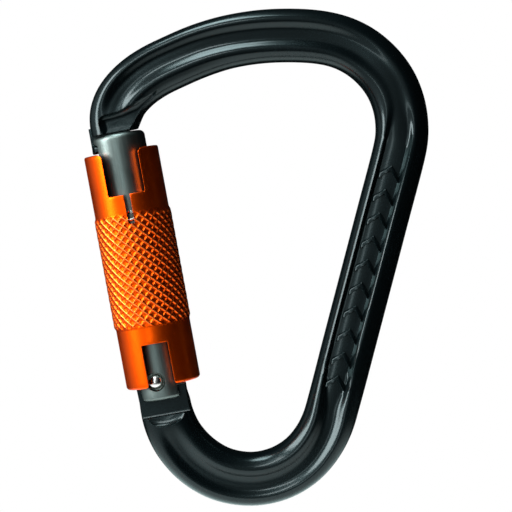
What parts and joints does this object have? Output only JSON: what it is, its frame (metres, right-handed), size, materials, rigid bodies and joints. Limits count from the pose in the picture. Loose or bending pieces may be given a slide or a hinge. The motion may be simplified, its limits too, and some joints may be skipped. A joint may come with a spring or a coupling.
{
  "type": "locking carabiner",
  "caption": "Pear-shaped locking carabiner with a forged channelled frame, a sprung keyhole-nose gate and an auto-locking knurled twist sleeve.",
  "frame": {"origin": "crown of the inside of the top basket, on the frame's middle plane", "axes": "+Z from the bottom basket to the top one, +X towards the spine, +Y through the frame, away from the side with the sleeve's notch"},
  "size_m": [0.0811, 0.0182, 0.1174],
  "materials": {
    "black_anodised": "glossy black anodised",
    "satin_grey": "satin grey anodised",
    "stainless": "bright domed rivet",
    "turned_steel": "turned",
    "spring_wire": "bright drawn wire",
    "orange_anodised": "metallic orange anodised",
    "torsion_wire": "bright drawn wire",
    "pin_steel": "hardened",
    "black_acetal": "moulded"
  },
  "bodies": {
    "frame": {"body": "black_anodised"},
    "gate": {"gate": "satin_grey", "hinge_rivet": "stainless", "guide_pin": "pin_steel", "gate_spring": "spring_wire", "sleeve_spring": "torsion_wire"},
    "plunger": {"gate_plunger": "turned_steel"},
    "sleeve": {"locking_sleeve": "orange_anodised", "sleeve_bush": "black_acetal"}
  },
  "joints": [
    {"name": "gate_hinge", "type": "hinge", "parent": "frame", "child": "gate", "pos_m": [-0.0308, 0, -0.07515], "axis": [0, 1, 0], "range_deg": [0, 26], "stiffness_Nm_per_rad": 0.3, "springref_deg": -14.32},
    {"name": "sleeve_turn", "type": "hinge", "parent": "gate", "child": "sleeve", "pos_m": [-0.02937, 0, -0.07489], "axis": [0.1805, 0, -0.9836], "range_deg": [0, 90], "stiffness_Nm_per_rad": 0.02, "springref_deg": -28.65, "deforming": ["sleeve_spring"]},
    {"name": "plunger_slide", "type": "slide", "parent": "gate", "child": "plunger", "axis": [-0.1805, 0, 0.9836], "range_m": [0, 0.001], "deforming": ["gate_spring"]}
  ],
  "couplings": [
    {"joint": "plunger_slide", "follows": "gate_hinge", "m_per_rad": 0.0022037}
  ]
}
